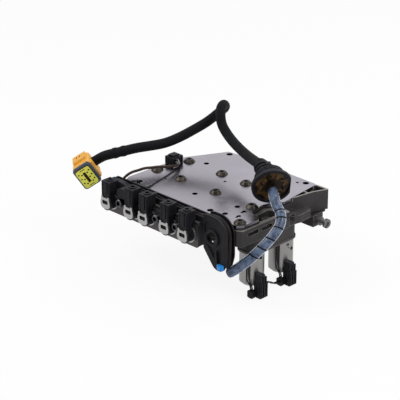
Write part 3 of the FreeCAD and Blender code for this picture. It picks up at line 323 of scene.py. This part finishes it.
def shrunkBraid():
    look = {"dark": rgb(0.0025, 0.0025, 0.003), "light": rgb(0.010, 0.0105, 0.0125), "cells": 900.0,
            "rough": 0.5, "bump": 0.0010}
    material, w, shader = newMaterial("shrunk conduit", "conduit", {"Specular IOR Level": 0.08})
    cell = speckle(w, look["cells"])
    cloud = noise(w, 120.0, 5.0)
    amount = (cell * 0.5 + cloud * 0.5).clamped()
    w.plug(shader.inputs["Base Color"], amount.mixed(look["dark"], look["light"]))
    w.plug(shader.inputs["Roughness"], look["rough"] + 0.25 * cloud)
    emboss(w, shader, cell * 0.6 + cloud * 2.0, look["bump"], 0.7)
    return material


def resin():  # near black in the middle, amber in a ring of lumps round it
    look = {"dark": rgb(0.007, 0.0045, 0.003), "amber": rgb(0.15, 0.082, 0.030),
            "spot": (0.0707, -0.0681, 0.0208), "axis": (0.7796, -0.5581, -0.2840), "pinsPast": -0.0019,
            "ringIn": 0.006, "ringOut": 0.0115, "rough": 0.30, "bump": 0.0006}
    material, w, shader = newMaterial("amber resin", "potting", {"Specular IOR Level": 0.15})
    cloud = noise(w, 240.0, 5.0).ramped(0.42, 0.75)
    lumps = noise(w, 140.0).ramped(0.42, 0.60)
    depth = away(w, look["spot"], look["axis"])
    pins = depth > look["pinsPast"]
    reach = w.node("ShaderNodeVectorMath", {"operation": "LENGTH"}, {0: gapTo(w, look["spot"])}, 1)
    ring = ((reach * reach - depth * depth) ** 0.5).ramped(look["ringIn"], look["ringOut"])
    amount = (0.55 * ring * lumps + 0.15 * cloud + 0.5 * pins * lumps).clamped()
    w.plug(shader.inputs["Base Color"], amount.mixed(look["dark"], look["amber"]))
    w.plug(shader.inputs["Roughness"], look["rough"] + 0.3 * cloud)
    emboss(w, shader, noise(w, 300.0), look["bump"], 0.5)
    return material


def loomWrap():  # slate loom under a clear film, with painted shade in dark patches where the film creases
    look = {"core": rgb(0.028, 0.048, 0.098), "pale": rgb(0.15, 0.205, 0.315),
            "dark": rgb(0.008, 0.012, 0.025), "stretch": (1.0, 1.0, 0.35), "rough": 0.32, "bump": 0.0005}
    fixed = {"Specular IOR Level": 0.15, "Coat Roughness": 0.05}
    material, w, shader = newMaterial("slate loom", "blue_wrap", fixed)
    cloud = noise(w, 130.0, 5.0).ramped(0.3, 0.72)
    threads = noise(w, 420.0, 4.0, 0.6, look["stretch"]).ramped(0.35, 0.7)
    # painted shade: noise patches take the dark colour at 0.75 for the film's creases
    creaseShade = noise(w, 260.0, 3.0, 0.5).ramped(0.52, 0.66)
    colour = (cloud * 0.6 + threads * 0.4).mixed(look["core"], look["pale"])
    w.plug(shader.inputs["Base Color"], (creaseShade * 0.75).mixed(colour, look["dark"]))
    w.plug(shader.inputs["Roughness"], look["rough"] + 0.25 * cloud)
    w.plug(shader.inputs["Coat Weight"], 0.2 + 0.35 * cloud)
    emboss(w, shader, cloud * 0.8 + threads * 0.5, look["bump"], 0.45)
    return material


# painted shade in the yellow block's terminal recesses: spot, axis, depth, back, colour
terminalRecessShade = {"spot": (-0.1255, -0.1472, -0.0038), "axis": (0.7541, -0.6551, -0.0450), "depth": 0.0004,
                "back": 0.0032, "colour": rgb(0.045, 0.012, 0.006)}
materials = {
    "plate_steel": sheetSteel(),
    "casting": castAlloy(),
    "gasket": moulded("bead gasket", "gasket", grey(0.005), grey(0.015), 0.6, gloss=0.1),
    "bare_steel": plainSteel("stamped steel", "bare_steel", rgb(0.105, 0.098, 0.10), rgb(0.055, 0.050, 0.051),
                             0.38, worn=0.45),
    "bolt_steel": boltSteel(),
    "seal_rubber": moulded("seal rubber", "seal_rubber", grey(0.0025), grey(0.012), 0.5, gloss=0.10),
    # black nylon, with painted light on its upward faces
    "black_plastic": moulded("black nylon", "black_plastic", rgb(0.0026, 0.0026, 0.0034),
                             rgb(0.060, 0.060, 0.074), 0.38, gloss=0.12, litTops=rgb(0.036, 0.036, 0.046)),
    "blue_plastic": moulded("blue clip nylon", "blue_plastic", rgb(0.012, 0.22, 0.62), rgb(0.05, 0.38, 0.8),
                            0.3, coat=0.3),
    "wire": moulded("black wire", "wire", grey(0.006), grey(0.03), 0.35, gloss=0.2),
    "brown_wire": moulded("brown wire", "brown_wire", rgb(0.018, 0.007, 0.005), rgb(0.09, 0.05, 0.035), 0.4,
                          gloss=0.2),
    "potting": resin(),
    "blue_wrap": loomWrap(),
    "conduit": shrunkBraid(),
    "orange_plastic": moulded("orange housing", "orange_plastic", rgb(0.84, 0.42, 0.05),
                              rgb(0.93, 0.62, 0.20), 0.4, gloss=0.25),
    "slate_rubber": moulded("slate seal", "slate_rubber", rgb(0.045, 0.06, 0.085), rgb(0.10, 0.13, 0.17),
                            0.45),
    "yellow_plastic": moulded("yellow terminal block", "yellow_plastic", rgb(0.72, 0.72, 0.075),
                              rgb(0.90, 0.90, 0.25), 0.45, gloss=0.3, deep=terminalRecessShade),
    "solenoid_steel": drawnSteel(),
    "spool_metal": plainSteel("hard anodised spool", "spool_metal", grey(0.22), grey(0.13), 0.4),
    "spring_steel": plainSteel("spring wire", "spring_steel", grey(0.3), grey(0.18), 0.3),
    "ball_rubber": moulded("check ball rubber", "ball_rubber", rgb(0.05, 0.04, 0.03), rgb(0.1, 0.08, 0.06),
                           0.5),
}
# painted highlight: a light material for the lines along the harness contours
filmHighlight = moulded("film highlight", "blue_wrap", rgb(0.55, 0.60, 0.68), rgb(0.85, 0.87, 0.9), 0.25, coat=0.3)
for part in frame["record"]["subparts"]:
    node = frame["nodes"][part["node"]]
    node.data.materials.clear()
    node.data.materials.append(materials[part["material_slot"]])
print("stage: finishes", len(materials))


# Camera, floor and lights
camera = {"spot": (1.210657, -1.312635, 0.757085), "look": (-0.6460, 0.6460, -0.4067), "lens": 162.0,
          "sensor": 36.0, "near": 0.05, "far": 20.0}


def turnTo(thing, way):  # points a camera or lamp along a direction
    thing.rotation_mode = "QUATERNION"
    thing.rotation_quaternion = Vector(way).to_track_quat("-Z", "Y")


def viewCamera():
    lens = bpy.data.cameras.new("view")
    lens.lens = camera["lens"]
    lens.sensor_width = camera["sensor"]
    lens.clip_start = camera["near"]
    lens.clip_end = camera["far"]
    eye = bpy.data.objects.new("view", lens)
    eye.location = camera["spot"]
    turnTo(eye, camera["look"])
    bpy.context.scene.collection.objects.link(eye)
    bpy.context.scene.camera = eye


def seenDirectly(w):  # 1 for camera, mirror and glass rays
    rays = w.tree.nodes.new("ShaderNodeLightPath")
    seen = [Wire(w.tree, rays.outputs[name]) for name in
            ("Is Camera Ray", "Is Glossy Ray", "Is Transmission Ray")]
    return (seen[0] + seen[1] + seen[2]).clamped()


def paleFloor():
    look = {"half": 3.0, "colour": grey(0.9), "rough": 0.9, "shadow": 0.10}
    half = look["half"]
    mesh = bpy.data.meshes.new("floor")
    corners = [(-half, -half, 0), (half, -half, 0), (half, half, 0), (-half, half, 0)]
    mesh.from_pydata(corners, [], [(0, 1, 2, 3)])
    floor = bpy.data.objects.new("floor", mesh)
    floor.location = (0, 0, cadBox[0].z)
    bpy.context.scene.collection.objects.link(floor)
    material = bpy.data.materials.new("pale floor")
    material.use_nodes = True
    tree = material.node_tree
    w = Wire(tree)
    shader = tree.nodes["Principled BSDF"]
    shader.inputs["Base Color"].default_value = look["colour"]
    shader.inputs["Roughness"].default_value = look["rough"]
    glow = w.node("ShaderNodeEmission", None, {0: grey(1.0), 1: 1.0})
    lit = Wire(tree, shader.outputs[0])
    pure = seenDirectly(w) * (1 - look["shadow"])
    blend = w.node("ShaderNodeMixShader", None, {0: pure, 1: lit, 2: glow})
    w.plug(tree.nodes["Material Output"].inputs[0], blend)
    mesh.materials.append(material)


def softWorld():
    look = {"fill": 0.36, "seen": 1.0}
    world = bpy.data.worlds.new("studio")
    bpy.context.scene.world = world
    world.use_nodes = True
    w = Wire(world.node_tree)
    fill = w.node("ShaderNodeBackground", None, {0: grey(1.0), 1: look["fill"]})
    white = w.node("ShaderNodeBackground", None, {0: grey(1.0), 1: look["seen"]})
    blend = w.node("ShaderNodeMixShader", None, {0: seenDirectly(w), 1: fill, 2: white})
    w.plug(world.node_tree.nodes["World Output"].inputs[0], blend)


def softLights():
    look = {"aim": (0, -0.05, 0), "lamps": (("key_light", (-0.9, -0.9, 1.3), 0.9, 14.0),
                                            ("side_light", (1.2, 0.1, 0.9), 0.8, 10.0),
                                            ("back_light", (0.1, 1.2, 1.1), 0.8, 6.0))}
    for name, spot, size, watts in look["lamps"]:
        lamp = bpy.data.lights.new(name, "AREA")
        lamp.size = size
        lamp.energy = watts
        holder = bpy.data.objects.new(name, lamp)
        holder.location = spot
        turnTo(holder, Vector(look["aim"]) - Vector(spot))
        bpy.context.scene.collection.objects.link(holder)


viewCamera()
paleFloor()
softWorld()
softLights()
bpy.context.scene.view_settings.view_transform = "Standard"
print("stage: camera and lights")


# Cords
def cordCurve(name, points, size, material, sides):
    curve = bpy.data.curves.new(name, "CURVE")
    curve.dimensions = "3D"
    curve.bevel_depth = size / 2
    curve.bevel_resolution = sides
    curve.resolution_u = 8
    curve.use_fill_caps = size > 0
    spline = curve.splines.new("NURBS")
    spline.points.add(len(points) - 1)
    for target, point in zip(spline.points, points):
        target.co = (point[0] * mm, point[1] * mm, point[2] * mm, 1.0)
    spline.order_u = 3
    spline.use_endpoint_u = True
    curve.materials.append(material)
    cord = bpy.data.objects.new(name, curve)
    bpy.context.scene.collection.objects.link(cord)
    return cord


def centreLine(points):  # the NURBS line through a route, as many close points
    bare = cordCurve("bare_line", points, 0.0, materials["wire"], 6)
    bpy.context.view_layer.update()
    mesh = bpy.data.meshes.new_from_object(bare)
    line = [v.co.copy() for v in mesh.vertices]
    bpy.data.meshes.remove(mesh)
    bpy.data.objects.remove(bare)
    return line


def lengthOf(line):
    return sum((b - a).length for a, b in zip(line, line[1:]))


def steadyFrames(line):  # point, way ahead and two side directions that don't spin
    made = []
    side = None
    for i, point in enumerate(line):
        ahead = (line[min(i + 1, len(line) - 1)] - line[max(i - 1, 0)]).normalized()
        side = ahead.orthogonal() if side is None else side
        side = (side - ahead * side.dot(ahead)).normalized()
        made.append((point, ahead, side, ahead.cross(side)))
    return made


def partOf(line, start, end, step=1.2 * mm):  # evenly spaced points between two distances
    marks = [0.0]
    for a, b in zip(line, line[1:]):
        marks.append(marks[-1] + (b - a).length)
    end = min(end, marks[-1])
    count = max(2, int((end - start) / step) + 1)
    picked = []
    i = 0
    for k in range(count):
        want = start + (end - start) * k / (count - 1)
        while i < len(marks) - 2 and marks[i + 1] < want:
            i += 1
        along = (want - marks[i]) / max(marks[i + 1] - marks[i], 1e-9)
        picked.append(line[i].lerp(line[i + 1], min(max(along, 0.0), 1.0)))
    return picked


def around(side, up, turn):  # direction at an angle in the plane of two others
    return side * math.cos(turn) + up * math.sin(turn)


def wound(line, offset, angle, twist):  # a line that winds round another one
    made = []
    run = 0.0
    last = line[0]
    for point, ahead, side, up in steadyFrames(line):
        run += (point - last).length
        last = point
        made.append(point + around(side, up, angle + fullTurn * twist * run) * offset)
    return made


class Shape:  # vertices and faces gathered into one mesh piece
    def __init__(self):
        self.spots = []
        self.faces = []

    def skin(self, first, rings, sides):  # side faces and both ends of a row of rings
        for i in range(rings - 1):
            a = first + i * sides
            for k in range(sides):
                n = (k + 1) % sides
                self.faces.append((a + k, a + n, a + sides + n, a + sides + k))
        last = first + (rings - 1) * sides
        self.faces.append(tuple(first + k for k in reversed(range(sides))))
        self.faces.append(tuple(last + k for k in range(sides)))

    def tube(self, line, radii, sides):
        first = len(self.spots)
        for (point, ahead, side, up), radius in zip(steadyFrames(line), radii):
            self.spots += [point + around(side, up, fullTurn * k / sides) * radius for k in range(sides)]
        self.skin(first, len(line), sides)

    def wire(self, line, size, sides=6):
        self.tube(line, [size / 2] * len(line), sides)

    def piece(self, name, slot, finish=None, smooth=True):
        mesh = bpy.data.meshes.new(name)
        mesh.from_pydata([tuple(v) for v in self.spots], [], self.faces)
        mesh.materials.append(finish or materials[slot])
        for face in mesh.polygons:
            face.use_smooth = smooth and len(face.vertices) == 4
        made = bpy.data.objects.new(name, mesh)
        bpy.context.scene.collection.objects.link(made)
        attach(made, body)
        return made


routes = {  # in millimetres
    "rowWires": [(-79, -135.6, -1.25), (-52, -135.2, -1.2), (-20, -135.9, -1.25), (10, -135.3, -1.2),
                 (33, -136.0, -1.2), (45.5, -137.2, 2.6), (54, -137.75, 5.5), (64.9, -137.75, 5.7),
                 (73.0, -137.75, 1.3), (77.4, -137.7, -6.8), (77.3, -137.75, -20), (77.4, -137.7, -34),
                 (76.0, -137.75, -46)],
    "harness": [(76.2, -136.4, -51.3), (82.5, -134.5, -46.5), (91.1, -127.0, -37.0), (99.4, -117.0, -25.0),
                (104.6, -104.5, -12.8), (105.6, -92.5, -2.2), (99.5, -85.8, 6.2), (90.5, -82.3, 9.8),
                (81.0, -76.2, 14.1), (72.9, -69.9, 18.6)],
    "frontLeads": [[(74.06, -107.85, -46), (74.20, -108.56, -58), (74.56, -109.05, -70),
                    (80.5, -108.9, -74.1), (80.5, -108.9, -79.1)],
                   [(76.02, -106.85, -46), (76.51, -107.38, -58), (76.70, -107.96, -70),
                    (82.9, -108.9, -74.1), (82.9, -108.9, -79.1)]],
    "rearLeads": [[(74.06, -63.85, -46), (74.20, -64.56, -58), (74.56, -65.05, -70), (80.5, -64.9, -75.1),
                   (80.5, -64.9, -80.1)],
                  [(76.02, -62.85, -46), (76.51, -63.38, -58), (76.70, -63.96, -70), (82.9, -64.9, -75.1),
                   (82.9, -64.9, -80.1)]],
    "linkLeads": [[(84.4, -95.3, -74.0), (84.4, -88.8, -74.0), (83.4, -81.3, -79.5), (80.0, -73.9, -83.6),
                   (80.0, -67.9, -83.6)],
                  [(86.8, -95.3, -74.0), (86.8, -88.8, -74.0), (85.8, -81.3, -78.0), (82.4, -73.9, -83.6),
                   (82.4, -67.9, -83.6)]],
    "sensorLeads": [(-73.4, -61.8, 4.6), (-69.2, -63.6, 4.4), (-66.2, -69.6, 5.0), (-65.4, -80.0, 6.6),
                    (-68.5, -94.0, 9.6), (-73.5, -108.5, 11.2), (-78.5, -119.5, 9.8), (-82.5, -128.0, 6.8),
                    (-84.0, -134.0, 2.6), (-84.0, -134.0, -3.3)],
    "conduit": [(45.2, -59.1, 35.3), (19.1, -46.4, 31.2), (-2.5, -37.4, 30.9), (-21.3, -30.2, 32.7),
                (-36.2, -25.2, 37.2), (-47.0, -22.0, 43.6), (-50.6, -20.4, 52.8), (-54.1, -16.0, 60.2),
                (-57.3, -8.1, 61.1), (-60.7, -1.7, 54.7), (-68.7, -3.4, 47.1), (-71.4, -17.6, 39.7),
                (-76.7, -32.1, 33.4), (-82.6, -49.3, 27.0), (-89.9, -65.1, 22.1), (-96.7, -81.4, 21.8),
                (-104.0, -95.2, 21.3), (-111.3, -108.6, 19.1), (-118.9, -120.6, 16.9), (-131.2, -120.3, 10.7),
                (-137.4, -127.1, 4.6)],
}


def looseCord(name, points, look, slot, node, leaves):
    cord = cordCurve(name, points, look["size"], materials[slot], look["sides"])
    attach(cord, body)
    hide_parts(node)
    [c * mm for c in leaves]


def outerConduit():
    look = {"size": 10.8 * mm, "sides": 8, "length": 0.2969, "tapeAt": (0.262, 0.271), "tapeWidth": 0.006,
            "tapeRadii": (0.00545, 0.0059, 0.0060, 0.0060, 0.0059, 0.00545), "tapeSides": 16}
    points = routes["conduit"]
    looseCord("conduit", points, look, "conduit", "outer_conduit", points[0])
    line = centreLine(points)
    shape = Shape()
    for spot in look["tapeAt"]:  # tape turns by the plug
        shape.tube(partOf(line, spot, spot + look["tapeWidth"]), look["tapeRadii"], look["tapeSides"])
    shape.piece("conduit_tape", "conduit")


def harnessBands(line):  # dark turns, tilted so that they look level in the view
    look = {"at": (0.0327, 0.044, 0.0567, 0.0704, 0.0817, 0.0898), "size": 2.0 * mm, "reach": 4.55 * mm,
            "half": 3.0 * mm, "step": 0.5 * mm, "steps": 24, "tilt": (-0.20, 0.20, 0.64), "rock": 0.06,
            "flattest": 0.3}
    shape = Shape()
    for i, spot in enumerate(look["at"]):
        run = partOf(line, spot - look["half"], spot + look["half"], look["step"])
        middle = run[len(run) // 2]
        ahead = (run[-1] - run[0]).normalized()
        tilt = Vector(look["tilt"]) + Vector((0, 0, look["rock"] * (-1) ** i))
        lean = (ahead + tilt).normalized()
        side = lean.orthogonal().normalized()
        up = lean.cross(side)
        ring = []
        for k in range(look["steps"] + 1):
            way = around(side, up, fullTurn * k / look["steps"])
            slope = ahead.dot(way)
            ring.append(middle + way * look["reach"] / math.sqrt(max(1 - slope * slope, look["flattest"])))
        shape.wire(ring, look["size"])
    shape.piece("harness_bands", "seal_rubber")


def harnessHighlights(line):  # painted highlights: light lines along both contours as seen from the camera, for the gleaming edges of the clear film
    look = {"turns": (0.25, 2.85, 4.2, 5.2), "size": 0.9 * mm, "reach": 5.05 * mm, "start": 0.003,
            "short": 0.004}
    shape = Shape()
    front = Vector(camera["look"])
    frames = steadyFrames(partOf(line, look["start"], lengthOf(line) - look["short"]))
    for turn in look["turns"]:
        shape.wire([point + around(ahead.cross(front).normalized(), -front, turn) * look["reach"]
                    for point, ahead, side, up in frames], look["size"])
    shape.piece("harness_highlights", "blue_wrap", filmHighlight)


def harnessThreads(line):  # threads that show where the film ends
    look = {"count": 9, "size": 1.5 * mm, "offset": 4.6 * mm, "sway": 0.3, "twist": 18.0, "uneven": 3.0,
            "runs": ((0.091, lengthOf(line) - 0.001), (0.002, 0.024))}
    shape = Shape()
    for start, end in look["runs"]:
        run = partOf(line, start, end)
        for k in range(look["count"]):
            angle = fullTurn * k / look["count"] + look["sway"] * math.sin(3.0 * k)
            twist = look["twist"] + look["uneven"] * math.sin(2.0 * k)
            shape.wire(wound(run, look["offset"], angle, twist), look["size"])
    shape.piece("harness_threads", "blue_wrap")


def wrappedHarness():
    look = {"size": 10.0 * mm, "sides": 8, "length": 0.1201}
    points = routes["harness"]
    looseCord("harness", points, look, "blue_wrap", "spiral_harness", points[-1])
    line = centreLine(points)
    harnessBands(line)
    harnessHighlights(line)
    harnessThreads(line)


def rowWires():  # loom in the channel, black with some brown strands
    look = {"size": 4.0 * mm, "sides": 6, "length": 0.202, "strands": 8, "strand": 1.3 * mm,
            "offset": 1.78 * mm, "uneven": 0.1 * mm, "sway": 0.25, "twist": 6.0, "start": 0.001,
            "short": 0.004, "step": 2.0 * mm}
    points = routes["rowWires"]
    looseCord("row_loom", points, look, "wire", "row_wires", points[0])
    line = centreLine(points)
    run = partOf(line, look["start"], lengthOf(line) - look["short"], look["step"])
    black = Shape()
    brown = Shape()
    for k in range(look["strands"]):
        angle = fullTurn * k / look["strands"] + look["sway"] * math.sin(5.0 * k)
        offset = look["offset"] + look["uneven"] * math.sin(7.0 * k)
        shape = brown if k % 3 == 1 else black
        shape.wire(wound(run, offset, angle, look["twist"]), look["strand"])
    black.piece("row_strands", "wire")
    brown.piece("row_brown_strands", "brown_wire")


def sensorLeads():
    look = {"size": 2.6 * mm, "sides": 6, "length": 0.0868, "strand": 1.3 * mm, "offset": 0.95 * mm,
            "twist": 22.0, "angles": (0.2, 2.3, 4.4), "margin": 0.001}
    points = routes["sensorLeads"]
    looseCord("sensor_wires", points, look, "brown_wire", "sensor_leads", points[0])
    line = centreLine(points)
    run = partOf(line, look["margin"], lengthOf(line) - look["margin"])
    shape = Shape()
    for angle in look["angles"]:
        shape.wire(wound(run, look["offset"], angle, look["twist"]), look["strand"])
    shape.piece("sensor_strands", "brown_wire")


def capWires():  # short tails from the back of each row plug down into the channel
    look = {"size": 1.3 * mm, "spread": 2.2, "end": (9.0, 7.6, -0.4),
            "path": ((0.0, -1.5, -6.0, 0.0), (0.0, 1.6, -5.2, 0.5), (2.5, 4.2, -5.6, 0.4),
                     (5.5, 6.6, -8.0, 0.0))}
    shape = Shape()
    for i in range(1, 6):
        low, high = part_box("row_connector_%d" % i)
        middle = (low.x + high.x) / 2 / mm
        back = high.y / mm
        top = high.z / mm
        for side in (-1, 1):
            left = middle + side * look["spread"]
            points = [(left + x, back + y, top + z + side * rise) for x, y, z, rise in look["path"]]
            x, y, z = look["end"]
            points.append((left + x, back + y, z))
            shape.wire(centreLine(points), look["size"])
    shape.piece("cap_wires", "wire")


def solenoidLeads():  # thin pairs that run down the cans and across
    sets = (("pressure_leads_1", "frontLeads", (0.0354, 0.0356)),
            ("pressure_leads_2", "rearLeads", (0.0362, 0.0364)),
            ("link_leads", "linkLeads", (0.0305, 0.0305)))
    for node, key, lengths in sets:
        for i, (points, length) in enumerate(zip(routes[key], lengths)):
            look = {"size": 1.5 * mm, "sides": 4, "length": length}
            looseCord("%s_%d" % (node, i + 1), points, look, "wire", node, points[0])


outerConduit()
wrappedHarness()
rowWires()
sensorLeads()
capWires()
solenoidLeads()
print("stage: cords")


# Small mouldings and marks
def endShroud():  # arched cover that runs from the first plug along the channel
    look = {"front": -144.0, "back": -137.6, "under": -5.0, "chamfer": 0.7, "corners": 6,
            "tops": ((-92.0, 4.6), (-84.0, 4.8), (-80.0, 4.9), (-76.0, 4.8), (-72.5, 4.3), (-69.5, 3.4),
                     (-66.5, 2.2), (-63.5, 0.6), (-61.0, -1.4))}
    front = look["front"]
    back = look["back"]
    under = look["under"]
    cut = look["chamfer"]
    shape = Shape()
    for x, top in look["tops"]:
        outline = [(front, under), (front, top - cut), (front + cut, top),
                   (back - cut, top), (back, top - cut), (back, under)]
        shape.spots += [Vector((x, y, z)) * mm for y, z in outline]
    shape.skin(0, len(look["tops"]), look["corners"])
    shape.piece("end_shroud", "black_plastic", smooth=False)


def smallClips():  # tabs of the channel that lie on the plate's front edge
    look = {"tabs": ([(-76.0, -131.0, 1.7), (-73.5, -127.0, 1.5), (-71.6, -123.8, 1.3),
                      (-70.4, -121.4, 1.2)],
                     [(-53.5, -130.5, 1.8), (-52.0, -128.4, 1.6), (-50.8, -126.6, 1.5),
                      (-49.6, -124.8, 1.4)]),
            "radii": (0.8 * mm, 0.8 * mm, 1.15 * mm, 0.9 * mm), "sides": 10}
    shape = Shape()
    for tab in look["tabs"]:
        shape.tube([Vector(p) * mm for p in tab], look["radii"], look["sides"])
    shape.piece("channel_tabs", "black_plastic")


def connectorLoops():  # bare wire loops beside the rear connector
    look = {"size": 0.9 * mm, "loops": ([(-75.0, -64.0, 5.5), (-72.0, -65.0, 9.5), (-67.5, -66.5, 9.0),
                                         (-65.5, -68.0, 4.0), (-68.5, -70.5, 1.2)],
                                        [(-75.0, -65.5, 4.0), (-71.0, -66.5, 7.5), (-67.5, -68.5, 6.5),
                                         (-67.0, -70.5, 2.5), (-70.0, -72.5, 1.2)])}
    shape = Shape()
    for points in look["loops"]:
        shape.wire(centreLine(points), look["size"])
    shape.piece("connector_loops", "spring_steel")


def canHoleShade():  # painted shade: black discs on the pressure solenoids' cans for the dark inside of their ports: place, radius, middle of the can
    look = {"ports": (((81.8, -49.0, -50.8), 1.9, (69.0, -51.5)), ((81.8, -53.7, -48.7), 0.6, (69.0, -51.5)),
                      ((82.0, -95.7, -46.0), 1.7, (69.0, -95.5))), "sunk": 0.5, "proud": 0.12, "sides": 18}
    shape = Shape()
    for spot, radius, (x, y) in look["ports"]:
        out = Vector((spot[0] - x, spot[1] - y, 0.0)).normalized()
        ends = [(Vector(spot) - out * look["sunk"]) * mm, (Vector(spot) + out * look["proud"]) * mm]
        shape.tube(ends, [radius * mm] * 2, look["sides"])
    shape.piece("can_hole_shade", "seal_rubber")


def valveSprings():  # coil springs behind the spools, each as long as its spring part
    look = {"wire": 1.0 * mm, "sides": 8, "turns": 6, "steps": 16, "fixedEnd": -0.0633, "travel": 0.004}
    for valve in ("pressure_regulator", "shift_valve"):
        low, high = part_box(valve + "_spring")
        middle = (low + high) / 2
        radius = (high.y - low.y - look["wire"]) / 2
        start = low.x + look["wire"] / 2
        span = high.x - low.x - look["wire"]
        count = look["turns"] * look["steps"]
        line = []
        for k in range(count + 1):
            turn = fullTurn * k / look["steps"]
            line.append(Vector((start + span * k / count, middle.y + radius * math.cos(turn),
                                middle.z + radius * math.sin(turn))))
        shape = Shape()
        shape.wire(line, look["wire"], look["sides"])
        coil = shape.piece(valve + "_coil", "spring_steel")
        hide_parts(valve + "_spring")
        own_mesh(coil)


endShroud()
smallClips()
valveSprings()
connectorLoops()
canHoleShade()
print("stage: small pieces")
